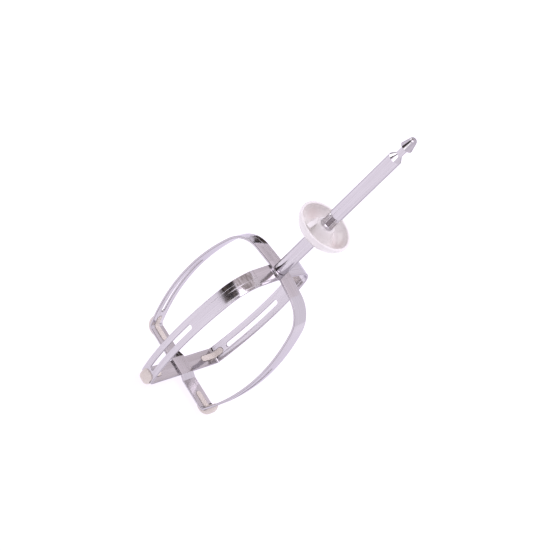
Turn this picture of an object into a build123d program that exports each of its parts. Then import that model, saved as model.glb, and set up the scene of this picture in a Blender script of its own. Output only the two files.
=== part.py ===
from build123d import *
import os
from math import acos, cos, degrees, radians, sin, tan

# Hand mixer beater. It stands upright on its four bumpers: the origin is on the axis at the
# bottom, and +Z runs along the shaft to its tip. Strip A lies in the XZ plane and strip B in
# the YZ plane. Lengths are millimetres, angles are degrees.

# Strips: flat steel bent to closed loops that cross at the bottom and at the hub.
strip_width = 8.0
strip_thickness = 1.0
edge_round = 0.2
foot_flat = 21.45          # half of the flat bottom, up to the corner bend
corner_radius = 2.2
corner_turn = 70.0
side_radius = 104.0
side_sweep = 36.7
shoulder_radius = 14.6
shoulder_turn = 66.2
hub_flat = 4.8             # half of the level stretch under the shaft
hub_bend_radius = 4.0
joggle_start = 4.4         # strip B steps down past strip A's edge ...
joggle_end = 7.2           # ... and is level with strip A from here outwards
joggle_radius = 1.0
seam_gap = 0.15            # between a strip's two ends, butted under the shaft

# Long window in each of the four sides, heights above strip_level.
window_width = 2.2
window_bottom = 8.1
window_top = 45.2

# Bumpers, one round each corner bend.
hole_width = 3.0
hole_start = 14.0          # distance from the axis
hole_top = 5.6             # above strip_level
bumper_width = 6.0
bumper_radius = 5.0
bumper_proud = 2.6         # of the corner bend
bumper_inner_proud = 0.35
bumper_round = 1.7

# Shaft, heights above the standing plane.
shaft_radius = 3.0
tip_z = 175.4
nose_radius = 1.75
nose_slope = 76.0          # of the head's cone
head_radius = 2.75
head_back_z = 169.8
head_back_step = 0.4
neck_radius = 1.4
neck_bottom_z = 165.2
shoulder_z = 162.6
tenon_radius = 1.6
rivet_radius = 2.7
rivet_height = 0.9

# Drive wings pressed out of the rod, with a pressed pocket between each two.
wing_count = 4
wing_bottom_z = 117.2
wing_top_z = 123.2
wing_end_slope = 0.9
wing_width = 1.3
wing_proud = 0.25
press_radius = 2.8         # of the rod between the wings, which the press leaves thinner
press_slope = 0.4
pocket_angle = 22.0
pocket_width = 2.2
pocket_length = 5.2
pocket_depth = 0.6

# Drip cup, depths below the rim.
cup_rim_z = 115.7
cup_radius = 12.9
cup_lip_radius = 0.62
cup_depth = 8.2
cup_neck_radius = 4.6
cup_neck_depth = 9.0
cup_gutter_radius = 8.2
cup_gutter_depth = 5.4
cup_cone_radius = 4.1
cup_cone_rise = 0.5        # of the centre cone above the rim
key_width = 2.2
key_angle = 11.3
key_offset = 3.85          # of the key's middle from the axis
key_start = 0.3
key_length = 9.6
key_drop = 0.1             # of the key's top below the rim

reach = 40.0               # more than the beater's half width
half = strip_thickness / 2

# A bumper's pad is round about a point on the corner's middle line. The pads' lowest points
# are the standing plane, which sets strip_level, the middle of strip A's bottom.
pad_shift = corner_radius + half + bumper_proud - bumper_radius
pad_turn = radians(corner_turn / 2 - 90)
pad_x = foot_flat + pad_shift * cos(pad_turn)
strip_level = bumper_radius - corner_radius - pad_shift * sin(pad_turn)


def side_rise(radius):
    """Height gained along a side arc."""
    chord = 2 * radius * sin(radians(side_sweep / 2))
    return chord * sin(radians(corner_turn + side_sweep / 2))


def draw_side(radius):
    """Draw the corner bend, the bowed side and the shoulder bend, and return their end."""
    corner = JernArc((foot_flat, strip_level), (1, 0), corner_radius, corner_turn)
    side = JernArc(corner @ 1, corner % 1, radius, side_sweep)
    shoulder = JernArc(side @ 1, side % 1, shoulder_radius, shoulder_turn)
    return shoulder @ 1


def find_hub_level():
    """Height of strip A's middle at the hub, where its slope meets the level stretch."""
    with BuildLine():
        end = draw_side(side_radius)
    return end.Y + (end.X - hub_flat) * hub_slope


def draw_half_loop(step):
    """Draw half of a strip's centre line. A step lifts it where it crosses the other strip."""
    foot = (foot_flat, strip_level)
    if step:
        raised = strip_level + step
        points = [(0, raised), (joggle_start, raised), (joggle_end, strip_level), foot]
        FilletPolyline(*points, radius=joggle_radius)
    else:
        Line((0, strip_level), foot)
    end = draw_side(side_radius * (1 + step / side_rise(side_radius)))
    top = hub_level + step
    bend = (end.X - (top - end.Y) / hub_slope, top)
    FilletPolyline(end, bend, (0, top), radius=hub_bend_radius)


def make_filled_loop(plane, step, growth):
    """Solid inside a strip's centre line, grown outwards, or inwards where negative."""
    with BuildPart() as filled:
        with BuildSketch(plane):
            with BuildLine():
                draw_half_loop(step)
                mirror(about=Plane.YZ)
            make_face()
            offset(amount=growth)
        extrude(amount=strip_width / 2, both=True)
    return filled.part


def make_strip(plane, across, step, angles):
    """One strip: a closed loop with its windows, bumper holes, tenon hole and butt seam."""
    outer = make_filled_loop(plane, step, half)
    inner = make_filled_loop(plane, step, -half)
    with BuildPart() as strip:
        add(outer)
        add(inner, mode=Mode.SUBTRACT)
        fillet(strip.faces().filter_by(plane).edges(), edge_round)
        with BuildSketch(across):
            with Locations((0, strip_level + (window_bottom + window_top) / 2)):
                SlotOverall(window_top - window_bottom, window_width, rotation=90)
        extrude(amount=reach, both=True, mode=Mode.SUBTRACT)
        for angle in angles:
            add(corner_hole.part, rotation=(0, 0, angle), mode=Mode.SUBTRACT)
        with Locations((0, 0, hub_level + step)):
            Cylinder(tenon_radius, 3 * strip_thickness, mode=Mode.SUBTRACT)
        with BuildSketch(across.offset(-seam_gap / 2)):
            with Locations((0, hub_level + step)):
                Rectangle(2 * strip_width, 3 * strip_thickness)
        extrude(amount=seam_gap, mode=Mode.SUBTRACT)
    return strip


def make_bumper(plane, step, angle):
    """One bumper: a pad outside the corner bend and a plug that fills the strip's hole."""
    outer = make_filled_loop(plane, step, half)
    inner = make_filled_loop(plane, step, -half - bumper_inner_proud)
    with BuildPart() as plug:
        add(corner_hole.part, rotation=(0, 0, angle))
        add(outer, mode=Mode.INTERSECT)
        add(inner, mode=Mode.SUBTRACT)
    with BuildPart() as bumper:
        add(pad.part, rotation=(0, 0, angle))
        add(outer, mode=Mode.SUBTRACT)
        add(plug.part)
    return bumper


def write_step(piece, name):
    """Label a finished piece and write it."""
    piece.part.label = name
    export_step(piece.part, f"parts/{name}.step")


os.makedirs("parts", exist_ok=True)
hub_slope = tan(radians(180 - corner_turn - side_sweep - shoulder_turn))
hub_level = find_hub_level()
hub_bottom = hub_level - half
hub_top = hub_level + strip_thickness + half

# Rounded hole round the +X corner bend, wider than the strip is thick.
with BuildPart() as corner_hole:
    with BuildSketch(Plane.XY):
        with Locations(((hole_start + reach) / 2, 0)):
            SlotOverall(reach - hole_start, hole_width)
    extrude(amount=strip_level + hole_top - hole_width / 2)
    with BuildSketch(Plane.YZ.offset(hole_start + hole_width)):
        with Locations((0, (strip_level + hole_top) / 2)):
            SlotOverall(strip_level + hole_top, hole_width, rotation=90)
    extrude(amount=reach - hole_start)

# Round pad at the +X corner, before the strip is taken out of it.
with BuildPart() as pad:
    with BuildSketch(Plane.XZ):
        with Locations((pad_x, bumper_radius)):
            Circle(bumper_radius)
    extrude(amount=bumper_width / 2, both=True)
    fillet(pad.edges().filter_by(GeomType.CIRCLE), bumper_round)

blade_strip_a = make_strip(Plane.XZ, Plane.YZ, 0, (0, 180))
write_step(blade_strip_a, "blade_strip_a")

blade_strip_b = make_strip(Plane.YZ, Plane.XZ, strip_thickness, (90, 270))
write_step(blade_strip_b, "blade_strip_b")

corners = [(Plane.XZ, 0, 0), (Plane.YZ, strip_thickness, 90)]
corners += [(plane, step, angle + 180) for plane, step, angle in corners]
for number, (plane, step, angle) in enumerate(corners, start=1):
    write_step(make_bumper(plane, step, angle), f"bumper_{number}")

# Shaft: rod, latch head on a neck, tenon through both strips and peened rivet head.
with BuildPart() as shaft:
    with BuildSketch(Plane.XZ):
        with BuildLine():
            rivet = ThreePointArc(
                (0, hub_bottom - rivet_height),
                (rivet_radius * 0.7, hub_bottom - rivet_height * 0.7),
                (rivet_radius, hub_bottom),
            )
            nose_x = nose_radius * sin(radians(nose_slope))
            nose_z = tip_z - nose_radius * (1 - cos(radians(nose_slope)))
            outline = Polyline(
                rivet @ 1,
                (tenon_radius, hub_bottom),
                (tenon_radius, hub_top),
                (shaft_radius, hub_top),
                (shaft_radius, wing_bottom_z),
                (press_radius, wing_bottom_z + press_slope),
                (press_radius, wing_top_z - press_slope),
                (shaft_radius, wing_top_z),
                (shaft_radius, shoulder_z),
                (neck_radius, neck_bottom_z),
                (neck_radius, head_back_z - head_back_step),
                (head_radius, head_back_z),
                (nose_x, nose_z),
            )
            nose = RadiusArc(outline @ 1, (0, tip_z), -nose_radius)
            Line(nose @ 1, rivet @ 0)
        make_face()
    revolve(axis=Axis.Z)
    for index in range(wing_count):
        wing_angle = pocket_angle + (index + 0.5) * 360 / wing_count
        with BuildSketch(Plane.XZ.rotated((0, 0, wing_angle))):
            with BuildLine():
                Polyline(
                    (neck_radius, wing_bottom_z),
                    (shaft_radius, wing_bottom_z),
                    (shaft_radius + wing_proud, wing_bottom_z + wing_end_slope),
                    (shaft_radius + wing_proud, wing_top_z - wing_end_slope),
                    (shaft_radius, wing_top_z),
                    (neck_radius, wing_top_z),
                    close=True,
                )
            make_face()
        extrude(amount=wing_width / 2, both=True)
    with Locations((0, 0, (wing_bottom_z + wing_top_z) / 2)):
        with PolarLocations(shaft_radius, wing_count, start_angle=pocket_angle):
            Box(2 * pocket_depth, pocket_width, pocket_length, mode=Mode.SUBTRACT)
write_step(shaft, "shaft")

# Drip cup: bowl that opens towards the tip, with a centre cone round the shaft.
lip_z = cup_rim_z - cup_lip_radius
lip_x = cup_radius - 2 * cup_lip_radius
bowl_height = cup_depth - cup_lip_radius
neck_start = degrees(acos(cup_neck_radius / cup_radius))
bowl_neck = (cup_neck_radius, lip_z - bowl_height * sin(radians(neck_start)))


def draw_bowl_outside():
    """Draw the underside of the bowl, from the lip in to the shaft."""
    EllipticalCenterArc(
        (0, lip_z), cup_radius, bowl_height, start_angle=-neck_start, arc_size=neck_start
    )
    Polyline(
        bowl_neck,
        (cup_neck_radius, cup_rim_z - cup_neck_depth),
        (shaft_radius, cup_rim_z - cup_neck_depth),
    )


# Raised key that stands in the bowl beside the shaft, cut to the bowl's outside.
with BuildPart() as key:
    with BuildSketch(Plane.XZ):
        with BuildLine():
            draw_bowl_outside()
            Polyline(
                (shaft_radius, cup_rim_z - cup_neck_depth),
                (shaft_radius, cup_rim_z - key_drop),
                (cup_radius - cup_lip_radius, cup_rim_z - key_drop),
                (cup_radius, lip_z),
            )
        make_face()
    revolve(axis=Axis.Z)
    with BuildSketch(Plane.XY.rotated((0, 0, key_angle))):
        with Locations((key_start + key_length / 2, -key_offset)):
            Rectangle(key_length, key_width)
    extrude(amount=tip_z, mode=Mode.INTERSECT)

with BuildPart() as drip_cup:
    with BuildSketch(Plane.XZ):
        with BuildLine():
            draw_bowl_outside()
            ThreePointArc(
                (cup_radius, lip_z),
                (cup_radius - cup_lip_radius, cup_rim_z),
                (lip_x, lip_z),
            )
            cone_top = (cup_cone_radius, cup_rim_z + cup_cone_rise)
            Spline(
                cone_top,
                (cup_gutter_radius, cup_rim_z - cup_gutter_depth),
                (lip_x, lip_z),
                tangents=((0.5, -1), (0, 1)),
            )
            Polyline(
                cone_top,
                (shaft_radius, cup_rim_z + cup_cone_rise),
                (shaft_radius, cup_rim_z - cup_neck_depth),
            )
        make_face()
    revolve(axis=Axis.Z)
    add(key.part)
write_step(drip_cup, "drip_cup")
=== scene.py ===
from math import acos, asin, atan, atan2, ceil, cos, exp, hypot, pi, radians, sin, tan

import bmesh
import bpy
import numpy as np
from mathutils import Matrix, Vector


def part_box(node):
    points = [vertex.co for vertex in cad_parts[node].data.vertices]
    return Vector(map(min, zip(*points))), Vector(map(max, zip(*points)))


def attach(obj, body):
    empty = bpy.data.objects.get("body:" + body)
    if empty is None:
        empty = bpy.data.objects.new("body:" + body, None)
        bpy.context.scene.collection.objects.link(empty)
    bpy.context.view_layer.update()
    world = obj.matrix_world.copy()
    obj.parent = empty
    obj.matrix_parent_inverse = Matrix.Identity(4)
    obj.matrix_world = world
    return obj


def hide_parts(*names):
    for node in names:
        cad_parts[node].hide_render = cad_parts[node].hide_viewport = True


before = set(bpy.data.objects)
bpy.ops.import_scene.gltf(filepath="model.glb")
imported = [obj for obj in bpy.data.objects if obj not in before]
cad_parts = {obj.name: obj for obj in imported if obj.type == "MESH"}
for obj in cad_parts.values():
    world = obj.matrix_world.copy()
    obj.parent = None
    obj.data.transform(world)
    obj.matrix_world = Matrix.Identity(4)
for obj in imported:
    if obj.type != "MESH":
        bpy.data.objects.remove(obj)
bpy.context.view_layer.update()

# A hand mixer beater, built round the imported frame. Metres, with lengths given in MM.
# A strip is drawn flat as a blank, with s along it and y across it, and then bent to its path.
MM = 0.001
ROOT = "root"

# ---------------------------------------------------------------- sizes read from the frame
STRIP_A_LOW, STRIP_A_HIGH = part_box("blade_strip_a")
_, STRIP_B_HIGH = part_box("blade_strip_b")
_, SHAFT_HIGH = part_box("shaft")
CUP_LOW, CUP_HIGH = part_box("drip_cup")
PAD_LOW, PAD_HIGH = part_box("bumper_1")

STRIP_WIDTH = STRIP_A_HIGH.y - STRIP_A_LOW.y
STRIP_THICKNESS = STRIP_B_HIGH.z - STRIP_A_HIGH.z
HALF_THICKNESS = STRIP_THICKNESS / 2
STRIP_LEVEL = STRIP_A_LOW.z + HALF_THICKNESS

# ---------------------------------------------------------------- driving dimensions
# The bends of a strip, from the bottom crossing up to the hub.
FOOT_FLAT = 21.45 * MM
CORNER_RADIUS = 2.2 * MM
CORNER_TURN = radians(70.0)
SIDE_RADIUS = 104.0 * MM
SIDE_SWEEP = radians(36.7)
SHOULDER_RADIUS = 14.6 * MM
SHOULDER_TURN = radians(66.2)
HUB_FLAT = 4.8 * MM
HUB_BEND_RADIUS = 4.0 * MM
JOGGLE_START = 4.4 * MM
JOGGLE_END = 7.2 * MM
JOGGLE_RADIUS = 1.0 * MM
HUB_SLOPE = pi - CORNER_TURN - SIDE_SWEEP - SHOULDER_TURN

# Section of a strip, its seam and its openings. The crown arches only its normals.
EDGE_ROUND = 0.22 * MM
CROWN = 0.06
SEAM_GAP = 0.15 * MM
WINDOW_WIDTH = 2.2 * MM
WINDOW_BOTTOM = STRIP_LEVEL + 8.1 * MM
WINDOW_TOP = STRIP_LEVEL + 45.2 * MM
HOLE_WIDTH = 3.0 * MM
HOLE_START = 14.0 * MM
HOLE_TOP = STRIP_LEVEL + 5.6 * MM
TENON_RADIUS = 1.6 * MM

# Bumpers.
PAD_WIDTH = PAD_HIGH.y - PAD_LOW.y
PAD_RADIUS = 5.0 * MM
PAD_ROUND = 1.9 * MM
PLUG_PROUD = 0.35 * MM
PLUG_ROUND = 0.3 * MM
PLUG_CLEAR = 0.08 * MM
PAD_SINK = 0.2 * MM
PAD_CENTRE_X = PAD_HIGH.x - PAD_RADIUS

# Shaft.
SHAFT_RADIUS = 3.0 * MM
TIP_Z = SHAFT_HIGH.z
NOSE_RADIUS = 1.75 * MM
HEAD_RADIUS = 2.75 * MM
HEAD_BACK = 5.6 * MM
HEAD_STEP = 0.4 * MM
NOSE_SLOPE = radians(76)
NECK_RADIUS = 1.4 * MM
NECK_BOTTOM = 10.2 * MM
SHOULDER_DROP = 12.8 * MM
RIVET_RADIUS = 2.7 * MM
RIVET_HEIGHT = 0.9 * MM
FOOT_LINE = 0.3 * MM
WING_COUNT = 4
WING_BOTTOM = CUP_HIGH.z + 1.0 * MM
WING_TOP = WING_BOTTOM + 6.0 * MM
WING_WIDTH = 1.3 * MM
WING_PROUD = 0.25 * MM
WING_END = 0.8 * MM
PRESS_DEPTH = 0.2 * MM
PRESS_SOFT = 0.4 * MM
EDGE_SOFT = 0.16 * MM
POCKET_ANGLE = radians(22.0)
POCKET_WIDTH = 2.2 * MM
POCKET_LENGTH = 5.2 * MM
POCKET_DEPTH = 0.6 * MM
PRESS_BELOW = 0.3 * MM
PRESS_ABOVE = 0.35 * MM
PRESS_ROW = 0.11 * MM
SHAFT_SEGMENTS = 288

# Drip cup.
CUP_RADIUS = CUP_HIGH.x
CUP_LIP = 0.62 * MM
CUP_CONE_RISE = 0.5 * MM
CUP_RIM = CUP_HIGH.z - CUP_CONE_RISE
CUP_DEPTH = 8.2 * MM
CUP_NECK_RADIUS = 4.6 * MM
CUP_GUTTER_RADIUS = 8.2 * MM
CUP_GUTTER_DEPTH = 5.4 * MM
CUP_CONE_RADIUS = 4.1 * MM
KEY_WIDTH = 2.2 * MM
KEY_ANGLE = radians(11.3)
KEY_OFFSET = 3.85 * MM
KEY_START = 0.3 * MM
KEY_LENGTH = 9.6 * MM
KEY_DROP = 0.1 * MM
KEY_CORNER = 0.45 * MM
KEY_ROUND = 0.35 * MM
KEY_SINK = 0.3 * MM
CUP_SEGMENTS = 192

# Camera: it looks at a point on the beater's axis. Azimuth and elevation are in degrees.
CAMERA_AIM = Vector((0, 0, STRIP_LEVEL + 75.374 * MM))
CAMERA_AZIMUTH = 18.26
CAMERA_ELEVATION = 36.81
CAMERA_DISTANCE = 710.2 * MM
CAMERA_ROLL = radians(45.87)
CAMERA_LENS = 107.34

# Tones of the materials, and how bright the steel's grazing reflections are.
STEEL_LIGHT = (0.658, 0.64, 0.655)
STEEL_DARK = (0.58, 0.558, 0.575)
STRIP_GRAZING = 0.76
ROD_GRAZING = 0.34
CUP_LIGHT = (0.79, 0.775, 0.745)
CUP_DARK = (0.755, 0.728, 0.70)
BUMPER_LIGHT = (0.69, 0.635, 0.565)
BUMPER_DARK = (0.61, 0.552, 0.492)

# Steel: painted shade that stands for dark reflections on a cut edge, from the flat face (0) over
# the rounded corner to the side (1).
STEEL_SHADE_TONES = (
    (0.12, 0.0),
    (0.3, 0.65),
    (0.42, 0.7),
    (0.5, 0.95),
    (0.58, 0.7),
    (0.75, 0.6),
    (0.97, 0.12),
)
STEEL_SHADE_COLOUR = (0.16, 0.13, 0.15, 1)
# Painted shadow at the rod's foot, where it stands on the strips.
FOOT_SHADOW = 0.5
# Painted shade in the rod's pressed pockets.
POCKET_SHADE = 0.4
# Painted shade on the latch head, darker than the rest of the rod.
HEAD_SHADE = 0.19

# Cup: two patches of painted shade inside the bowl, by angle round the axis.
PAINTED_SHADE_COLOUR = (0.62, 0.56, 0.53, 1)
PAINTED_SHADE_ANGLES = (radians(-108), radians(121))
PAINTED_SHADE_SPREAD = radians(27)
PAINTED_SHADE_INNER = 6.2 * MM
PAINTED_SHADE_OUTER = 12.6 * MM
PAINTED_SHADE_SOFT = 2.2 * MM

# Room: its tint, and the floor's brightness by share of a turn round the beater.
ROOM_TINT = (1.03, 0.965, 1.09)
ROOM_STRENGTH = 0.95
FLOOR_SIZE = 6.0
FLOOR_TURN = radians(-248)
FLOOR_TONES = ((0.12, 0.9), (0.28, 0.92), (0.4, 0.9), (0.5, 1.08), (0.58, 0.98), (0.7, 0.86))
FLOOR_DIM = 0.86

# Cards and lights face this point on the axis.
AIM_POINT = (0, 0, 80 * MM)

# Lengths that count as nothing, and as touching.
SMALLEST = 1e-7
NEAR = 0.01 * MM


# ---------------------------------------------------------------- small mesh tools
def make_object(name, mesh, material, node):
    """Link a mesh as a piece of the beater, in place of a CAD node."""
    obj = bpy.data.objects.new(name, mesh)
    bpy.context.scene.collection.objects.link(obj)
    mesh.materials.clear()
    mesh.materials.append(material)
    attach(obj, ROOT)
    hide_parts(node)
    return obj


def set_normals(mesh, normals):
    """Give every vertex its exact normal."""
    for polygon in mesh.polygons:
        polygon.use_smooth = True
    mesh.normals_split_custom_set_from_vertices([tuple(n) for n in normals])


def add_layer(mesh, name, values):
    """Give every vertex a value that the materials read by its name."""
    layer = mesh.attributes.new(name, "FLOAT", "POINT")
    layer.data.foreach_set("value", np.asarray(values, np.float32))


# ---------------------------------------------------------------- outlines of turned pieces
def round_corners(points, step=radians(7.5)):
    """Turn (r, z, corner radius) points into a line of (r, z) with its normals. The line
    runs anticlockwise, so the normal points to its right."""
    line, normals = [], []

    def put(point, direction):
        line.append((point.x, point.y))
        normals.append((direction.y, -direction.x))

    flat = [Vector((r, z)) for r, z, _ in points]
    put(flat[0], (flat[1] - flat[0]).normalized())
    for before, here, after, (_, _, radius) in zip(flat, flat[1:], flat[2:], points[1:]):
        incoming = (here - before).normalized()
        outgoing = (after - here).normalized()
        turn = atan2(incoming.cross(outgoing), incoming.dot(outgoing))
        if radius == 0:
            put(here, (incoming + outgoing).normalized())
            continue
        back = radius * tan(abs(turn) / 2)
        side = Vector((-incoming.y, incoming.x)) * (1 if turn > 0 else -1)
        centre = here - incoming * back + side * radius
        count = max(2, ceil(abs(turn) / step))
        for index in range(count + 1):
            spin = Matrix.Rotation(turn * index / count, 2)
            put(centre + spin @ (-side * radius), spin @ incoming)
    put(flat[-1], (flat[-1] - flat[-2]).normalized())
    return line, normals


def turn_outline(line, normals, segments):
    """Lathe an outline round the axis. Points on the axis become single poles."""
    angles = [2 * pi * index / segments for index in range(segments)]
    vertices, vertex_normals, rings = [], [], []
    for (r, z), (nr, nz) in zip(line, normals):
        ring = []
        if r < SMALLEST:
            ring.append(len(vertices))
            vertices.append((0, 0, z))
            vertex_normals.append((0, 0, 1 if nz > 0 else -1))
        else:
            for angle in angles:
                ring.append(len(vertices))
                vertices.append((r * cos(angle), r * sin(angle), z))
                vertex_normals.append((nr * cos(angle), nr * sin(angle), nz))
        rings.append(ring)
    faces = []
    for low, high in zip(rings, rings[1:]):
        for index in range(segments):
            following = (index + 1) % segments
            if len(low) == 1 and len(high) == 1:
                continue
            if len(low) == 1:
                faces.append((low[0], high[following], high[index]))
            elif len(high) == 1:
                faces.append((low[index], low[following], high[0]))
            else:
                faces.append((low[index], low[following], high[following], high[index]))
    mesh = bpy.data.meshes.new("turned")
    mesh.from_pydata(vertices, [], faces)
    return mesh, vertex_normals


# ---------------------------------------------------------------- the path of a bent strip
def side_legs(step):
    """Legs of half a strip, from the bottom crossing to the hub, as (length, turn)."""
    rise = 2 * SIDE_RADIUS * sin(SIDE_SWEEP / 2) * sin(CORNER_TURN + SIDE_SWEEP / 2)
    side_radius = SIDE_RADIUS * (1 + step / rise)
    legs = []
    if step:
        turn = atan(step / (JOGGLE_END - JOGGLE_START))
        back = JOGGLE_RADIUS * tan(turn / 2)
        slope = hypot(step, JOGGLE_END - JOGGLE_START)
        legs += [(JOGGLE_START - back, 0), (JOGGLE_RADIUS * turn, -turn)]
        legs += [(slope - 2 * back, 0), (JOGGLE_RADIUS * turn, turn)]
        legs += [(FOOT_FLAT - JOGGLE_END - back, 0)]
    else:
        legs += [(FOOT_FLAT, 0)]
    legs += [(CORNER_RADIUS * CORNER_TURN, CORNER_TURN)]
    legs += [(side_radius * SIDE_SWEEP, SIDE_SWEEP)]
    legs += [(SHOULDER_RADIUS * SHOULDER_TURN, SHOULDER_TURN)]
    end_x = place_legs(legs, step)[-1][1]
    back = HUB_BEND_RADIUS * tan(HUB_SLOPE / 2)
    slope = (end_x - HUB_FLAT) / cos(HUB_SLOPE) - back
    legs += [(slope, 0), (HUB_BEND_RADIUS * HUB_SLOPE, HUB_SLOPE)]
    hub_x = place_legs(legs, step)[-1][1]
    return legs + [(hub_x, 0)]


def place_legs(legs, step):
    """Stations (s, x, z, heading) along the legs, close together where they turn."""
    s, x, z, heading = 0.0, 0.0, STRIP_LEVEL + step, 0.0
    stations = [(s, x, z, heading)]
    for length, turn in legs:
        by_turn = abs(turn) / radians(2.5)
        by_length = length / (1.0 * MM if turn else 4.0 * MM)
        count = max(1, ceil(max(by_turn, by_length)))
        for _ in range(count):
            part = turn / count
            chord = length / count if not part else length / count * sin(part / 2) / (part / 2)
            x += chord * cos(heading + part / 2)
            z += chord * sin(heading + part / 2)
            heading += part
            s += length / count
            stations.append((s, x, z, heading))
    return stations


class StripPath:
    """Where a point of the flat blank goes when the strip is bent. s is 0 at the bottom
    crossing and grows to both ends, which butt at the hub."""

    def __init__(self, step, across):
        self.stations = np.array(place_legs(side_legs(step), step))
        self.length = self.stations[-1, 0]
        self.across = across

    def middle(self, s):
        """(x, z, heading) of the strip's middle line at s, for one half."""
        table = self.stations
        side = np.abs(s)
        x, z, heading = (np.interp(side, table[:, 0], table[:, k]) for k in (1, 2, 3))
        sign = np.where(s < 0, -1.0, 1.0)
        return x * sign, z, heading * sign

    def s_at_height(self, height):
        """s where a side passes a height."""
        side = self.stations[self.stations[:, 0] > FOOT_FLAT]
        rising = side[: int(np.argmax(side[:, 2]))]
        return float(np.interp(height, rising[:, 2], rising[:, 0]))

    def s_at_distance(self, distance):
        """s where the flat bottom passes a distance from the axis."""
        table = self.stations
        return float(np.interp(distance, table[:40, 1], table[:40, 0]))

    def places(self):
        """Every s that a straight cut across the blank needs, so that it bends smoothly."""
        side = [float(s) for s in self.stations[1:-1, 0]]
        return [-s for s in side] + [0.0] + side

    def axes(self, s):
        """Unit vectors along the strip and out of its loop, in the strip's own axes."""
        _, _, heading = self.middle(s)
        zero = np.zeros_like(heading)
        along = np.stack([np.cos(heading), zero, np.sin(heading)], -1)
        out = np.stack([np.sin(heading), zero, -np.cos(heading)], -1)
        return along, out

    def turn_to_row(self, vectors):
        """From the strip's own x, y, z to the row frame."""
        if self.across == "y":
            return vectors
        return np.stack([-vectors[..., 1], vectors[..., 0], vectors[..., 2]], -1)

    def bend(self, flat):
        """Flat (s, y, n) points, with n out of the loop, to points in the row frame."""
        flat = np.asarray(flat, float)
        x, z, _ = self.middle(flat[:, 0])
        _, out = self.axes(flat[:, 0])
        points = np.stack([x, flat[:, 1], z], -1) + out * flat[:, 2:3]
        return self.turn_to_row(points)

    def bend_vectors(self, s, vectors):
        """Directions in the blank to directions in the row frame."""
        along, out = self.axes(s)
        across = np.zeros_like(along)
        across[:, 1] = 1
        turned = along * vectors[:, 0:1] + across * vectors[:, 1:2] + out * vectors[:, 2:3]
        return self.turn_to_row(turned)


# ---------------------------------------------------------------- flat blanks
def pill(start, end, width, points=20):
    """Outline of a slot with round ends, along s."""
    radius = width / 2
    outline = []
    for centre, first in ((end - radius, -pi / 2), (start + radius, pi / 2)):
        for index in range(points + 1):
            angle = first + pi * index / points
            outline.append((centre + radius * cos(angle), radius * sin(angle)))
    return outline


def blank_outline(path):
    """Outline of a whole strip, laid flat, with half a tenon hole at each end."""
    end = path.length - SEAM_GAP / 2
    half = STRIP_WIDTH / 2
    notch = []
    reach = asin(SEAM_GAP / 2 / TENON_RADIUS)
    for index in range(17):
        angle = -pi / 2 + reach + (pi - 2 * reach) * index / 16
        notch.append((path.length - TENON_RADIUS * cos(angle), TENON_RADIUS * sin(angle)))
    right = [(end, -half)] + notch + [(end, half)]
    left = [(-s, -y) for s, y in right]
    return right + left


def fill_blank(outlines, half_height, edge_round):
    """A plate with rounded edges from its outline and the outlines of its holes."""
    curve = bpy.data.curves.new("blank", "CURVE")
    curve.dimensions = "2D"
    curve.fill_mode = "BOTH"
    curve.extrude = half_height - edge_round
    curve.bevel_depth = edge_round
    curve.bevel_resolution = 3
    curve.offset = -edge_round
    for outline in outlines:
        spline = curve.splines.new("POLY")
        spline.points.add(len(outline) - 1)
        for point, (s, y) in zip(spline.points, outline):
            point.co = (s, y, 0, 1)
        spline.use_cyclic_u = True
    obj = bpy.data.objects.new("blank", curve)
    bpy.context.scene.collection.objects.link(obj)
    depsgraph = bpy.context.evaluated_depsgraph_get()
    mesh = bpy.data.meshes.new_from_object(obj.evaluated_get(depsgraph))
    bpy.data.objects.remove(obj)
    return mesh


def cut_at(mesh, places):
    """Cut a flat mesh by planes across s, once its empty faces are gone."""
    work = bmesh.new()
    work.from_mesh(mesh)
    bmesh.ops.remove_doubles(work, verts=work.verts, dist=SMALLEST)
    bmesh.ops.dissolve_degenerate(work, dist=SMALLEST, edges=work.edges)
    for s in places:
        geometry = work.verts[:] + work.edges[:] + work.faces[:]
        bmesh.ops.bisect_plane(
            work, geom=geometry, dist=SMALLEST, plane_co=(s, 0, 0), plane_no=(1, 0, 0)
        )
    work.to_mesh(mesh)
    work.free()


def blank_normals(mesh, half_height, edge_round, crown=0.0):
    """Exact normals of a plate with rounded edges, while it is flat. A crown leans them
    out towards the plate's sides, as on a strip that the rolls leave slightly arched."""
    sideways = np.zeros((len(mesh.vertices), 3))
    for polygon in mesh.polygons:
        normal = polygon.normal
        if abs(normal.z) < 0.99:
            level = np.array([normal.x, normal.y, 0.0])
            level /= max(np.linalg.norm(level), 1e-12)
            for index in polygon.vertices:
                sideways[index] += level
    lengths = np.linalg.norm(sideways, axis=1, keepdims=True)
    sideways /= np.maximum(lengths, 1e-12)
    height = np.array([v.co.z for v in mesh.vertices])
    lift = np.clip((np.abs(height) - (half_height - edge_round)) / edge_round, 0, 1)
    lift = np.where(lengths[:, 0] < 1e-9, 1.0, lift)
    level = np.sqrt(1 - lift**2)
    normals = sideways * level[:, None]
    normals[:, 2] = lift * np.sign(height)
    across = np.array([v.co.y for v in mesh.vertices]) / (STRIP_WIDTH / 2)
    normals[:, 1] += crown * across * lift
    return normals / np.linalg.norm(normals, axis=1, keepdims=True)


def bend_mesh(mesh, path, normals, lift=0.0):
    """Bend a flat mesh, raised by lift towards the outside of the loop, to its path."""
    flat = np.array([v.co for v in mesh.vertices])
    flat[:, 2] = lift - flat[:, 2]
    bent = path.bend(flat)
    turned = path.bend_vectors(flat[:, 0], normals * np.array([1, 1, -1]))
    mesh.vertices.foreach_set("co", bent.astype(np.float32).ravel())
    mesh.update()
    return turned


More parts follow.
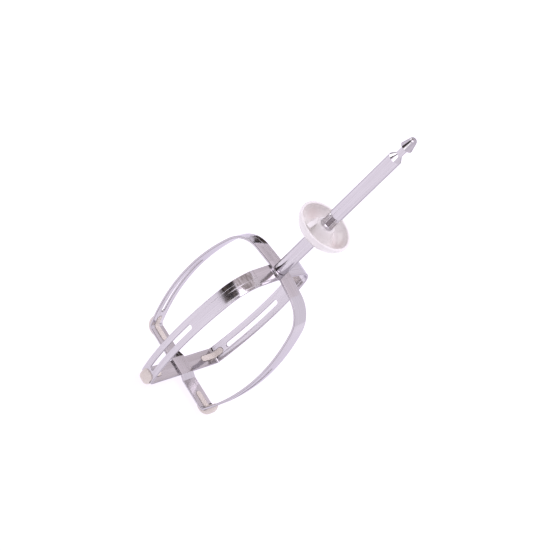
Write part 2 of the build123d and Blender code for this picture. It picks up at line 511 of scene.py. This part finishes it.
# ---------------------------------------------------------------- strips
def make_strip(name, path, material):
    """One strip: a flat blank with its openings, bent to a closed loop."""
    window = (path.s_at_height(WINDOW_BOTTOM), path.s_at_height(WINDOW_TOP))
    hole = (path.s_at_distance(HOLE_START), path.s_at_height(HOLE_TOP))
    outlines = [blank_outline(path)]
    for low, high, width in ((*window, WINDOW_WIDTH), (*hole, HOLE_WIDTH)):
        outlines += [pill(low, high, width), pill(-high, -low, width)]
    mesh = fill_blank(outlines, HALF_THICKNESS, EDGE_ROUND)
    cut_at(mesh, path.places())
    normals = blank_normals(mesh, HALF_THICKNESS, EDGE_ROUND, CROWN)
    # How far each point faces sideways: it sets the painted shade along the cut edges, which stands
    # for dark reflections, and their dullness.
    edges = 1 - np.abs(normals[:, 2])
    normals = bend_mesh(mesh, path, normals)
    set_normals(mesh, normals)
    add_layer(mesh, "painted_shade_and_dullness", edges)
    return make_object(name, mesh, material, name)


# ---------------------------------------------------------------- bumpers
def pad_section(y):
    """(radius, tilt) of the round pad at a distance across from its middle."""
    past = abs(y) - (PAD_WIDTH / 2 - PAD_ROUND)
    if past <= 0:
        return PAD_RADIUS, 0.0
    tilt = asin(min(1.0, past / PAD_ROUND))
    return PAD_RADIUS - PAD_ROUND * (1 - cos(tilt)), tilt


def pad_reach(path, centre, s, radius):
    """How far the pad stands out of the strip's outer face at s, as lengths along the face's
    normals. It is negative where the strip is outside the pad."""
    x, z, _ = path.middle(s)
    _, out = path.axes(s)
    start = np.stack([x, z], -1) + out[:, [0, 2]] * HALF_THICKNESS - centre
    direction = out[:, [0, 2]]
    along = (start * direction).sum(-1)
    inside = along**2 - (start**2).sum(-1) + radius**2
    reach = np.sqrt(np.maximum(inside, 0)) - along
    return np.where(inside > 0, reach, -1.0)


def pad_mesh(path, sign):
    """The pad round a strip's corner bend: a dome over the strip, closed underneath."""
    corner = path.s_at_distance(FOOT_FLAT - 1e-6)
    middle = corner + CORNER_RADIUS * CORNER_TURN / 2
    centre = np.array([PAD_CENTRE_X, PAD_RADIUS])
    search = middle + np.linspace(-9 * MM, 9 * MM, 1201)
    tilts = [pi / 2 * index / 7 for index in range(8)]
    edge = PAD_WIDTH / 2 - PAD_ROUND
    across = [edge + PAD_ROUND * sin(tilt) for tilt in tilts]
    across = [-y for y in reversed(across)] + [-edge / 3, edge / 3] + across
    shares = (1 - np.cos(np.linspace(0, pi, 57))) / 2
    top, under, normals = [], [], []
    for y in across:
        radius, tilt = pad_section(y)
        reach = pad_reach(path, centre, search, radius)
        covered = search[reach > 0]
        s = covered[0] + shares * (covered[-1] - covered[0])
        reach = np.maximum(pad_reach(path, centre, s, radius), 0)
        reach[[0, -1]] = 0
        flat = np.stack([s * sign, np.full_like(s, y), HALF_THICKNESS + reach], -1)
        top.append(path.bend(flat))
        flat[:, 2] = HALF_THICKNESS - PAD_SINK
        under.append(path.bend(flat))
        normals.append(pad_normals(path, centre, s * sign, y, reach, tilt))
    return close_sheet(np.array(top), np.array(under), np.array(normals), sign)


def pad_normals(path, centre, s, y, reach, tilt):
    """Exact normals of the pad's round face."""
    x, z, _ = path.middle(s)
    _, out = path.axes(s)
    side = np.where(s < 0, -1.0, 1.0)
    point = np.stack([x, z], -1) + out[:, [0, 2]] * (HALF_THICKNESS + reach)[:, None]
    level = point - np.stack([centre[0] * side, np.full_like(s, centre[1])], -1)
    level /= np.linalg.norm(level, axis=1, keepdims=True)
    level *= cos(tilt)
    lean = np.full_like(s, sin(tilt) * (1 if y > 0 else -1))
    return path.turn_to_row(np.stack([level[:, 0], lean, level[:, 1]], -1))


def close_sheet(top, under, normals, sign):
    """A closed mesh from a grid of points, the same grid underneath, and a skirt."""
    rows, columns, _ = top.shape
    count = rows * columns
    vertices = np.concatenate([top.reshape(-1, 3), under.reshape(-1, 3)])

    def at(row, column, layer):
        return layer * count + row * columns + column

    faces = []
    for row in range(rows - 1):
        for column in range(columns - 1):
            corners = ((row, column), (row, column + 1), (row + 1, column + 1), (row + 1, column))
            faces.append([at(r, c, 0) for r, c in corners])
            faces.append([at(r, c, 1) for r, c in reversed(corners)])
    border = [(0, c) for c in range(columns)]
    border += [(r, columns - 1) for r in range(1, rows)]
    border += [(rows - 1, c) for c in range(columns - 2, -1, -1)]
    border += [(r, 0) for r in range(rows - 2, 0, -1)]
    for (r, c), (r2, c2) in zip(border, border[1:] + border[:1]):
        faces.append([at(r2, c2, 0), at(r, c, 0), at(r, c, 1), at(r2, c2, 1)])
    if sign > 0:
        faces = [face[::-1] for face in faces]
    mesh = bpy.data.meshes.new("pad")
    mesh.from_pydata([tuple(v) for v in vertices], [], faces)
    flat = normals.reshape(-1, 3)
    return mesh, np.concatenate([flat, -flat])


def plug_mesh(path, sign):
    """The plug that fills a strip's hole, a little proud of the strip's inner face."""
    low = path.s_at_distance(HOLE_START) + PLUG_CLEAR
    high = path.s_at_height(HOLE_TOP) - PLUG_CLEAR
    outline = pill(low, high, HOLE_WIDTH - 2 * PLUG_CLEAR)
    outline = [(s * sign, y * sign) for s, y in outline]
    half_height = (STRIP_THICKNESS + PLUG_PROUD) / 2 - PLUG_CLEAR / 2
    mesh = fill_blank([outline], half_height, PLUG_ROUND)
    cut_at(mesh, [s for s in path.places() if low < s * sign < high])
    normals = blank_normals(mesh, half_height, PLUG_ROUND)
    return mesh, bend_mesh(mesh, path, normals, -PLUG_PROUD / 2 - PLUG_CLEAR / 2)


def join_meshes(parts):
    """One mesh of several (mesh, normals)."""
    vertices, faces, normals = [], [], []
    for mesh, own in parts:
        base = len(vertices)
        vertices += [tuple(v.co) for v in mesh.vertices]
        faces += [[base + index for index in p.vertices] for p in mesh.polygons]
        normals += [tuple(n) for n in own]
    joined = bpy.data.meshes.new("joined")
    joined.from_pydata(vertices, [], faces)
    set_normals(joined, normals)
    return joined


def make_bumper(name, path, sign, material):
    """One bumper: a pad outside the corner bend and the plug in the strip's hole."""
    mesh = join_meshes([pad_mesh(path, sign), plug_mesh(path, sign)])
    return make_object(name, mesh, material, name)


# ---------------------------------------------------------------- shaft
def ease(value, start, end):
    """0 before start, 1 after end, and smooth between."""
    share = np.clip((value - start) / (end - start), 0, 1)
    return share * share * (3 - 2 * share)


def plateau(value, low, high, soft):
    """1 between low and high, and 0 outside, over edges that are soft wide."""
    return ease(value, low, low + soft) * (1 - ease(value, high - soft, high))


def press_depth(angle, z):
    """How far the press moved the rod's face in or out, and where its pockets get painted shade."""
    painted_shade = np.zeros_like(z)
    depth = -PRESS_DEPTH * plateau(z, WING_BOTTOM, WING_TOP, PRESS_SOFT)
    middle = (WING_BOTTOM + WING_TOP) / 2
    for index in range(WING_COUNT):
        pocket = POCKET_ANGLE + index * 2 * pi / WING_COUNT
        wing = pocket + pi / WING_COUNT
        side = SHAFT_RADIUS * np.arctan2(np.sin(angle - wing), np.cos(angle - wing))
        half = WING_WIDTH / 2
        ridge = plateau(side, -half - EDGE_SOFT, half + EDGE_SOFT, EDGE_SOFT)
        ridge = ridge * plateau(z, WING_BOTTOM, WING_TOP, WING_END)
        depth = depth + (WING_PROUD + PRESS_DEPTH) * ridge
        side = SHAFT_RADIUS * np.arctan2(np.sin(angle - pocket), np.cos(angle - pocket))
        half = POCKET_WIDTH / 2
        ends = POCKET_LENGTH / 2
        hollow = plateau(side, -half, half, EDGE_SOFT)
        hollow = hollow * plateau(z, middle - ends, middle + ends, EDGE_SOFT)
        depth = depth - (POCKET_DEPTH - PRESS_DEPTH) * hollow
        painted_shade = np.maximum(painted_shade, hollow)
    return depth, painted_shade


def shaft_rows():
    """Outline of the rod from the rivet head up to the tip, and its normals."""
    hub_bottom = STRIP_A_HIGH.z - STRIP_THICKNESS
    hub_top = STRIP_B_HIGH.z
    tip = TIP_Z
    dome = RIVET_HEIGHT
    line = [(0, hub_bottom - dome, 0)]
    for index in range(1, 12):
        angle = pi / 2 * index / 12
        line.append((RIVET_RADIUS * sin(angle), hub_bottom - dome * cos(angle), 0))
    line += [
        (RIVET_RADIUS, hub_bottom - 0.05 * MM, 0),
        (RIVET_RADIUS, hub_bottom, 0.04 * MM),
        (TENON_RADIUS, hub_bottom, 0.04 * MM),
        (TENON_RADIUS, hub_top, 0.04 * MM),
        (SHAFT_RADIUS, hub_top, 0.2 * MM),
        (SHAFT_RADIUS, hub_top + FOOT_LINE, 0),
        (SHAFT_RADIUS, hub_top + 1.2 * FOOT_LINE, 0),
    ]
    rows = np.arange(WING_BOTTOM - PRESS_BELOW, WING_TOP + PRESS_ABOVE, PRESS_ROW)
    line += [(SHAFT_RADIUS, float(z), 0) for z in rows]
    line += [
        (SHAFT_RADIUS, tip - SHOULDER_DROP, 0.2 * MM),
        (NECK_RADIUS, tip - NECK_BOTTOM, 0.4 * MM),
        (NECK_RADIUS, tip - HEAD_BACK - HEAD_STEP, 0.2 * MM),
        (HEAD_RADIUS, tip - HEAD_BACK, 0.16 * MM),
    ]
    for index in range(8):
        angle = NOSE_SLOPE * (1 - index / 8)
        drop = NOSE_RADIUS * (1 - cos(angle))
        line.append((NOSE_RADIUS * sin(angle), tip - drop, 0))
    line.append((0, tip, 0))
    return round_corners(line)


def press_mesh(mesh, normals):
    """Press the wings and pockets into the turned rod. Gives the new normals and the pockets'
    painted shade.
    """
    place = np.array([v.co for v in mesh.vertices])
    smooth = np.array(normals, float)
    radius = np.hypot(place[:, 0], place[:, 1])
    angle = np.arctan2(place[:, 1], place[:, 0])
    z = place[:, 2]
    zone = (z > WING_BOTTOM - PRESS_BELOW - NEAR) & (z < WING_TOP + PRESS_ABOVE + NEAR)
    small = 0.02 * MM
    depth, painted_shade = press_depth(angle, z)
    by_angle = (press_depth(angle + small / SHAFT_RADIUS, z)[0] - depth) / small
    by_height = (press_depth(angle, z + small)[0] - depth) / small
    level = np.stack([np.cos(angle), np.sin(angle), np.zeros_like(z)], -1)
    onward = np.stack([-np.sin(angle), np.cos(angle), np.zeros_like(z)], -1)
    pressed = level - onward * by_angle[:, None]
    pressed[:, 2] -= by_height
    pressed /= np.linalg.norm(pressed, axis=1, keepdims=True)
    place[zone] = level[zone] * (radius + depth)[zone, None] + place[zone] * [0, 0, 1]
    smooth[zone] = pressed[zone]
    mesh.vertices.foreach_set("co", place.astype(np.float32).ravel())
    return smooth, painted_shade


def shaft_painted_shade(z, painted_shade):
    """Painted shade on the rod: a painted shadow line at its foot, and painted shade in its pockets
    and on its latch head.
    """
    foot = (z > STRIP_B_HIGH.z - NEAR) & (z < STRIP_B_HIGH.z + 1.1 * FOOT_LINE)
    head = HEAD_SHADE * ease(z, TIP_Z - HEAD_BACK - HEAD_STEP, TIP_Z - HEAD_BACK)
    return np.maximum(np.where(foot, FOOT_SHADOW, POCKET_SHADE * painted_shade), head)


def make_shaft(material):
    """The rod, with its wings and pockets pressed into it."""
    line, normals = shaft_rows()
    mesh, smooth = turn_outline(line, normals, SHAFT_SEGMENTS)
    heights = np.array([v.co.z for v in mesh.vertices])
    smooth, painted_shade = press_mesh(mesh, smooth)
    set_normals(mesh, smooth)
    # A layer of painted shade: shadow at the foot, shade in the pockets and on the latch head.
    add_layer(mesh, "painted_shade_and_dullness", shaft_painted_shade(heights, painted_shade))
    return make_object("shaft", mesh, material, "shaft")


# ---------------------------------------------------------------- drip cup
def bowl_outside(radius):
    """Height of the bowl's underside at a radius."""
    share = min(1.0, radius / CUP_RADIUS)
    return CUP_RIM - CUP_LIP - (CUP_DEPTH - CUP_LIP) * (1 - share**2) ** 0.5


def bowl_inside():
    """Points from the top of the centre cone, down into the gutter and up to the lip."""
    top = np.array([CUP_CONE_RADIUS, CUP_RIM + CUP_CONE_RISE])
    gutter = np.array([CUP_GUTTER_RADIUS, CUP_RIM - CUP_GUTTER_DEPTH])
    lip = np.array([CUP_RADIUS - 2 * CUP_LIP, CUP_RIM - CUP_LIP])
    first = np.linalg.norm(gutter - top)
    second = np.linalg.norm(lip - gutter)
    start, end = np.array([0.447, -0.894]), np.array([0.0, 1.0])
    slope = 3 * ((gutter - top) / first**2 + (lip - gutter) / second**2)
    slope = (slope - start / first - end / second) / (2 / first + 2 / second)
    points = []
    for a, b, ta, tb, length in (
        (top, gutter, start, slope, first),
        (gutter, lip, slope, end, second),
    ):
        for t in np.linspace(0, 1, 33)[:-1]:
            points.append(
                (2 * t**3 - 3 * t**2 + 1) * a
                + (t**3 - 2 * t**2 + t) * ta * length
                + (3 * t**2 - 2 * t**3) * b
                + (t**3 - t**2) * tb * length
            )
    return [(float(r), float(z)) for r, z in points]


def cup_outline():
    """Outline of the cup's wall, anticlockwise: up its outside, over the lip, and inside."""
    lip_z = CUP_RIM - CUP_LIP
    bottom = CUP_LOW.z
    inner = SHAFT_RADIUS + 0.02 * MM
    line = [(inner, bottom, 0), (CUP_NECK_RADIUS, bottom, 0.25 * MM)]
    neck = acos(CUP_NECK_RADIUS / CUP_RADIUS)
    for index in range(49):
        angle = neck * (1 - index / 48)
        radius = CUP_RADIUS * cos(angle)
        rounding = 0.3 * MM if index == 0 else 0
        line.append((radius, lip_z - (CUP_DEPTH - CUP_LIP) * sin(angle), rounding))
    for index in range(1, 16):
        angle = pi * index / 16
        x = CUP_RADIUS - CUP_LIP + CUP_LIP * cos(angle)
        line.append((x, lip_z + CUP_LIP * sin(angle), 0))
    line.append((CUP_RADIUS - 2 * CUP_LIP, lip_z, 0))
    inside = bowl_inside()
    line += [(r, z, 0) for r, z in reversed(inside[1:])]
    line.append((*inside[0], 0.25 * MM))
    line.append((inner, CUP_HIGH.z, 0))
    return line


def key_corners():
    """Outline of the key before it is turned to its angle, and the outline's normals."""
    low_x, high_x = KEY_START, KEY_START + KEY_LENGTH
    low_y, high_y = -KEY_OFFSET - KEY_WIDTH / 2, -KEY_OFFSET + KEY_WIDTH / 2
    corners = ((high_x, low_y, -pi / 2), (high_x, high_y, 0))
    corners += ((low_x, high_y, pi / 2), (low_x, low_y, pi))
    outline, sideways = [], []
    for x, y, first in corners:
        centre_x = x + (KEY_CORNER if x == low_x else -KEY_CORNER)
        centre_y = y + (KEY_CORNER if y == low_y else -KEY_CORNER)
        for index in range(7):
            angle = first + pi / 2 * index / 6
            outline.append((centre_x + KEY_CORNER * cos(angle), centre_y + KEY_CORNER * sin(angle)))
            sideways.append((cos(angle), sin(angle)))
    return outline, sideways


def key_outline():
    """Outline of the key in place, with points close together, and its normals."""
    outline, sideways = key_corners()
    spin = Matrix.Rotation(KEY_ANGLE, 2)
    dense, outward = [], []
    for here, normal, after in zip(outline, sideways, outline[1:] + outline[:1]):
        run_x, run_y = after[0] - here[0], after[1] - here[1]
        steps = max(1, ceil(hypot(run_x, run_y) / (0.5 * MM)))
        for index in range(steps):
            share = index / steps
            dense.append(spin @ Vector((here[0] + run_x * share, here[1] + run_y * share)))
            outward.append(spin @ Vector(normal))
    return dense, outward


def key_mesh():
    """The raised key beside the shaft, from inside the bowl's wall up to its flat top."""
    dense, outward = key_outline()
    top = CUP_RIM - KEY_DROP
    levels = [(0, None, 0.0)]
    for index in range(6):
        tilt = pi / 2 * index / 5
        levels.append((KEY_ROUND * (1 - cos(tilt)), top - KEY_ROUND * (1 - sin(tilt)), tilt))
    vertices, normals, faces = [], [], []
    for inset, height, tilt in levels:
        for place, normal in zip(dense, outward):
            x, y = place - normal * inset
            z = height
            if z is None:
                z = bowl_outside(place.length) + KEY_SINK
            vertices.append((x, y, z))
            normals.append((normal.x * cos(tilt), normal.y * cos(tilt), sin(tilt)))
    count = len(dense)
    for level in range(len(levels) - 1):
        low, high = level * count, (level + 1) * count
        for index in range(count):
            following = (index + 1) % count
            faces.append((low + index, low + following, high + following, high + index))
    last = (len(levels) - 1) * count
    faces.append(list(range(last, last + count)))
    faces.append(list(range(count))[::-1])
    mesh = bpy.data.meshes.new("key")
    mesh.from_pydata(vertices, [], faces)
    return mesh, normals


def close_tube(mesh):
    """Join the first and last rings of a turned outline, which leaves a bore."""
    work = bmesh.new()
    work.from_mesh(mesh)
    open_edges = [edge for edge in work.edges if edge.is_boundary]
    bmesh.ops.bridge_loops(work, edges=open_edges)
    work.to_mesh(mesh)
    work.free()


def bowl_painted_shade(mesh, normals):
    """Painted shade inside the bowl: a soft patch on either side of its gutter."""
    painted_shade = []
    for vertex, normal in zip(mesh.vertices, normals):
        x, y, z = vertex.co
        level = 0.0
        if normal[2] > 0.05 and z < CUP_RIM - 0.2 * MM:
            ring = plateau(hypot(x, y), PAINTED_SHADE_INNER, PAINTED_SHADE_OUTER, PAINTED_SHADE_SOFT)
            for middle in PAINTED_SHADE_ANGLES:
                turn = (atan2(y, x) - middle + pi) % (2 * pi) - pi
                level = max(level, ring * exp(-((turn / PAINTED_SHADE_SPREAD) ** 2)))
        painted_shade.append(float(level))
    return painted_shade


def make_cup(material):
    """The drip cup with its key."""
    line, normals = round_corners(cup_outline())
    bowl, smooth = turn_outline(line, normals, CUP_SEGMENTS)
    close_tube(bowl)
    # Painted shade inside the bowl, as a layer that the cup's material mixes in; the key gets none.
    painted_shade = bowl_painted_shade(bowl, smooth)
    mesh = join_meshes([(bowl, smooth), key_mesh()])
    painted_shade += [0.0] * (len(mesh.vertices) - len(painted_shade))
    add_layer(mesh, "painted_shade", painted_shade)
    return make_object("drip_cup", mesh, material, "drip_cup")


# ---------------------------------------------------------------- materials
def new_material(name):
    """A material with a principled shader, and a way to add linked nodes to it."""
    material = bpy.data.materials.new(name)
    material.use_nodes = True
    tree = material.node_tree
    shader = tree.nodes["Principled BSDF"]

    def add(kind, inputs=None, **settings):
        node = tree.nodes.new(kind)
        for key, value in settings.items():
            setattr(node, key, value)
        for key, value in (inputs or {}).items():
            if isinstance(value, bpy.types.NodeSocket):
                tree.links.new(value, node.inputs[key])
            else:
                node.inputs[key].default_value = value
        return node

    return material, shader, tree, add


def add_ramp(add, factor, stops):
    """A colour ramp over a factor, with (position, colour) stops."""
    node = add("ShaderNodeValToRGB", {"Fac": factor})
    elements = node.color_ramp.elements
    elements.remove(elements[-1])
    elements[0].position, elements[0].color = stops[0]
    for position, colour in stops[1:]:
        elements.new(position).color = colour
    return node.outputs["Color"]


def add_noise(add, place, scale, detail):
    """A noise between 0 and 1 over a place."""
    noise = add("ShaderNodeTexNoise", {"Vector": place, "Scale": scale, "Detail": detail})
    return noise.outputs["Fac"]


def add_range(add, value, start, end, low, high):
    """A value mapped from start to end onto low to high, and held outside."""
    ends = {"Value": value, "From Min": start, "From Max": end, "To Min": low, "To Max": high}
    return add("ShaderNodeMapRange", ends).outputs["Result"]


def add_mix(add, share, colour, other):
    """A colour, with a share of another mixed in."""
    return add("ShaderNodeMix", {0: share, 6: colour, 7: other}, data_type="RGBA").outputs[2]


def add_math(add, operation, first, second):
    """A sum or product of two values."""
    return add("ShaderNodeMath", {0: first, 1: second}, operation=operation).outputs[0]


def add_bump(add, height, strength, distance, inputs=None):
    """A bump, on top of another one where the inputs name its normal."""
    own = {"Height": height, "Strength": strength, "Distance": distance}
    return add("ShaderNodeBump", {**own, **(inputs or {})}).outputs["Normal"]


def steel_colour(add, grain, edge, light, dark):
    """Two tones in the grain, darkened by painted shade along the edges and on the rod."""
    tint = add_ramp(add, grain, [(0.3, (*dark, 1)), (0.7, (*light, 1))])
    tones = [(0.0, (0, 0, 0, 1))]
    tones += [(position, (level, level, level, 1)) for position, level in STEEL_SHADE_TONES]
    return add_mix(add, add_ramp(add, edge, tones), tint, STEEL_SHADE_COLOUR)


def steel_roughness(add, place, grain_place, edge):
    """Smudges all over, duller cut edges, and a few scratches along the grain."""
    smudge = add_range(add, add_noise(add, place, 90.0, 3.0), 0.3, 0.7, 0.06, 0.16)
    scratch = add_range(add, add_noise(add, grain_place, 1500.0, 0.0), 0.66, 0.72, 0.0, 0.3)
    dull = add_math(add, "ADD", add_math(add, "MULTIPLY", edge, 0.2), smudge)
    return add_math(add, "ADD", dull, scratch)


def make_steel(name, stretch, grazing):
    """Polished steel with a grain, painted shade and scratches. Stretch is the grain's scale along
    X,
    Y and Z. Grazing is the brightness of what the steel mirrors at a grazing angle."""
    material, shader, tree, add = new_material(name)
    place = add("ShaderNodeTexCoord").outputs["Object"]
    grain_place = add("ShaderNodeMapping", {"Vector": place, "Scale": stretch}).outputs["Vector"]
    grain = add_noise(add, grain_place, 2600.0, 4.0)
    # The layer of painted shade: dark reflections painted along the strips' edges, and shade on the
    # rod. It also dulls them.
    edge = add("ShaderNodeAttribute", attribute_name="painted_shade_and_dullness").outputs["Fac"]
    colour = steel_colour(add, grain, edge, STEEL_LIGHT, STEEL_DARK)
    fine = add_bump(add, grain, 0.08, 0.02 * MM)
    wave = add_noise(add, grain_place, 520.0, 1.0)
    broad = add_bump(add, wave, 0.4, 0.05 * MM, {"Normal": fine})
    tree.links.new(colour, shader.inputs["Base Color"])
    roughness = steel_roughness(add, place, grain_place, edge)
    tree.links.new(roughness, shader.inputs["Roughness"])
    tree.links.new(broad, shader.inputs["Normal"])
    shader.inputs["Metallic"].default_value = 1.0
    shader.inputs["Specular Tint"].default_value = (grazing, 0.98 * grazing, 1.04 * grazing, 1)
    return material


def make_plastic(name, light, dark, roughness, coat):
    """Moulded plastic with a slight unevenness and fine speckle, darkened by painted shade where
    its layer asks for it.
    """
    material, shader, tree, add = new_material(name)
    place = add("ShaderNodeTexCoord").outputs["Object"]
    cloud = add_noise(add, place, 140.0, 4.0)
    tint = add_ramp(add, cloud, [(0.3, (*dark, 1)), (0.65, (*light, 1))])
    # The layer of painted shade; it is zero on a mesh that has none.
    painted_shade = add("ShaderNodeAttribute", attribute_name="painted_shade").outputs["Fac"]
    colour = add_mix(add, painted_shade, tint, PAINTED_SHADE_COLOUR)
    rough = add_range(add, cloud, 0.3, 0.7, roughness, roughness + 0.12)
    bump = add_bump(add, add_noise(add, place, 2200.0, 2.0), 0.12, 0.03 * MM)
    tree.links.new(colour, shader.inputs["Base Color"])
    tree.links.new(rough, shader.inputs["Roughness"])
    tree.links.new(bump, shader.inputs["Normal"])
    shader.inputs["Coat Weight"].default_value = coat
    shader.inputs["Coat Roughness"].default_value = 0.08
    return material


# ---------------------------------------------------------------- stage, lights and camera
def aim(obj, place, target, roll=0.0):
    """Put an object at a place, looking at a target along its own -Z."""
    forward = (Vector(target) - Vector(place)).normalized()
    turn = forward.to_track_quat("-Z", "Y").to_matrix()
    turn = turn @ Matrix.Rotation(roll, 3, "Z")
    obj.matrix_world = Matrix.Translation(place) @ turn.to_4x4()


def around(azimuth, elevation, distance, centre=AIM_POINT):
    """A place at a distance from the beater, by azimuth and elevation in degrees."""
    a, e = radians(azimuth), radians(elevation)
    level = Vector((cos(a) * cos(e), sin(a) * cos(e), sin(e)))
    return Vector(centre) + level * distance


def make_sheet(name, width, height):
    """A flat rectangle that stands beside the beater as part of its stage."""
    mesh = bpy.data.meshes.new(name)
    w, h = width / 2, height / 2
    mesh.from_pydata([(-w, -h, 0), (w, -h, 0), (w, h, 0), (-w, h, 0)], [], [(0, 1, 2, 3)])
    obj = bpy.data.objects.new(name, mesh)
    bpy.context.scene.collection.objects.link(obj)
    return obj


def make_card(name, place, size, dark, light, mottle):
    """A glowing card that only reflections see, mottled between two tones."""
    obj = make_sheet(name, *size)
    material, shader, tree, add = new_material(name)
    tree.nodes.remove(shader)
    spot = add("ShaderNodeTexCoord").outputs["Object"]
    cloud = add_noise(add, spot, mottle, 2.0)
    shade = add_ramp(add, cloud, [(0.42, (*dark, 1)), (0.62, (*light, 1))])
    glow = add("ShaderNodeEmission", {"Color": shade})
    output = tree.nodes["Material Output"]
    tree.links.new(glow.outputs["Emission"], output.inputs["Surface"])
    obj.data.materials.append(material)
    aim(obj, place, AIM_POINT)
    obj.visible_camera = False
    obj.visible_shadow = False
    obj.visible_diffuse = False


def room_tone(level):
    """A brightness with the room's tint, as a colour."""
    return (*(level * part for part in ROOM_TINT), 1)


def make_floor():
    """A plain white floor that glows, a little more on one side than on the other."""
    obj = make_sheet("floor", FLOOR_SIZE, FLOOR_SIZE)
    material, shader, tree, add = new_material("floor")
    place = add("ShaderNodeTexCoord").outputs["Object"]
    turned = add("ShaderNodeMapping", {"Vector": place, "Rotation": (0, 0, FLOOR_TURN)})
    turned = turned.outputs["Vector"]
    share = add("ShaderNodeTexGradient", {"Vector": turned}, gradient_type="RADIAL")
    tones = [(0.0, FLOOR_DIM), *FLOOR_TONES, (1.0, FLOOR_DIM)]
    tones = [(position, room_tone(level)) for position, level in tones]
    shade = add_ramp(add, share.outputs["Fac"], tones)
    shader.inputs["Base Color"].default_value = (0.2, 0.2, 0.2, 1)
    shader.inputs["Roughness"].default_value = 1.0
    shader.inputs["Specular IOR Level"].default_value = 0.0
    tree.links.new(shade, shader.inputs["Emission Color"])
    shader.inputs["Emission Strength"].default_value = 1.0
    obj.data.materials.append(material)


def make_light(name, place, size, power, mirrored):
    """A soft round light, either mirrored by glossy surfaces only or shining on dull ones."""
    data = bpy.data.lights.new(name, "AREA")
    data.shape = "DISK"
    data.size = size
    data.energy = power
    data.color = ROOM_TINT
    obj = bpy.data.objects.new(name, data)
    bpy.context.scene.collection.objects.link(obj)
    aim(obj, place, AIM_POINT)
    obj.visible_diffuse = not mirrored
    obj.visible_glossy = mirrored


def make_camera():
    """The camera, rolled so that the beater lies across the picture."""
    data = bpy.data.cameras.new("camera")
    data.lens = CAMERA_LENS
    data.sensor_width = 36.0
    data.clip_start = 0.01
    obj = bpy.data.objects.new("camera", data)
    bpy.context.scene.collection.objects.link(obj)
    place = around(CAMERA_AZIMUTH, CAMERA_ELEVATION, CAMERA_DISTANCE, CAMERA_AIM)
    aim(obj, place, CAMERA_AIM, CAMERA_ROLL)
    bpy.context.scene.camera = obj


def light_world():
    """Even, pale surroundings."""
    world = bpy.data.worlds.new("studio")
    bpy.context.scene.world = world
    world.use_nodes = True
    background = world.node_tree.nodes["Background"]
    background.inputs["Color"].default_value = (*ROOM_TINT, 1)
    background.inputs["Strength"].default_value = ROOM_STRENGTH


def light_scene():
    """Cards and a round window for the steel to mirror, and one light for dull surfaces."""
    light_world()
    black, brown, white = (0.004, 0.004, 0.008), (0.14, 0.11, 0.10), (2.2, 2.2, 2.2)
    soot, shade = (0.03, 0.025, 0.025), (0.05, 0.045, 0.045)
    haze, pale = (0.76, 0.68, 0.74), (1.0, 0.9, 1.0)
    taupe, mist = (0.42, 0.36, 0.37), (0.84, 0.75, 0.8)
    make_card("dark_front", around(-29, 9.5, 0.45), (0.33, 0.45), black, brown, 16)
    make_card("dark_back", around(-148, 8, 0.45), (0.17, 0.25), soot, brown, 16)
    make_card("dark_side", around(-122, 18, 0.5), (0.2, 0.3), shade, brown, 9)
    make_card("grey_back", around(-157, 44, 0.6), (0.32, 0.42), haze, pale, 14)
    make_card("grey_top", around(-58, 60, 0.9), (0.95, 0.8), taupe, mist, 8)
    make_card("white_side", around(-79, 24, 0.5), (0.5, 0.2), white, white, 9)
    make_card("white_front", around(9, 1, 0.5), (0.22, 0.2), white, white, 9)
    make_light("window", around(13, 47, 0.7), 0.54, 1.5, mirrored=True)
    make_light("overhead", around(180, 72, 0.8), 0.6, 2.6, mirrored=False)
    bpy.context.scene.view_settings.view_transform = "Standard"


# ---------------------------------------------------------------- the beater
def build():
    """Make every piece and put it on the frame."""
    steel_a = make_steel("rolled_steel_a", (0.02, 1.0, 0.02), STRIP_GRAZING)
    steel_b = make_steel("rolled_steel_b", (1.0, 0.02, 0.02), STRIP_GRAZING)
    steel_rod = make_steel("drawn_steel", (1.0, 1.0, 0.02), ROD_GRAZING)
    cup = make_plastic("cup_plastic", CUP_LIGHT, CUP_DARK, 0.22, 0.5)
    bumper = make_plastic("bumper_plastic", BUMPER_LIGHT, BUMPER_DARK, 0.4, 0.1)
    path_a = StripPath(0.0, "y")
    path_b = StripPath(STRIP_THICKNESS, "x")
    make_strip("blade_strip_a", path_a, steel_a)
    make_strip("blade_strip_b", path_b, steel_b)
    make_shaft(steel_rod)
    make_cup(cup)
    make_bumper("bumper_1", path_a, 1, bumper)
    make_bumper("bumper_2", path_b, 1, bumper)
    make_bumper("bumper_3", path_a, -1, bumper)
    make_bumper("bumper_4", path_b, -1, bumper)


build()
make_floor()
light_scene()
make_camera()
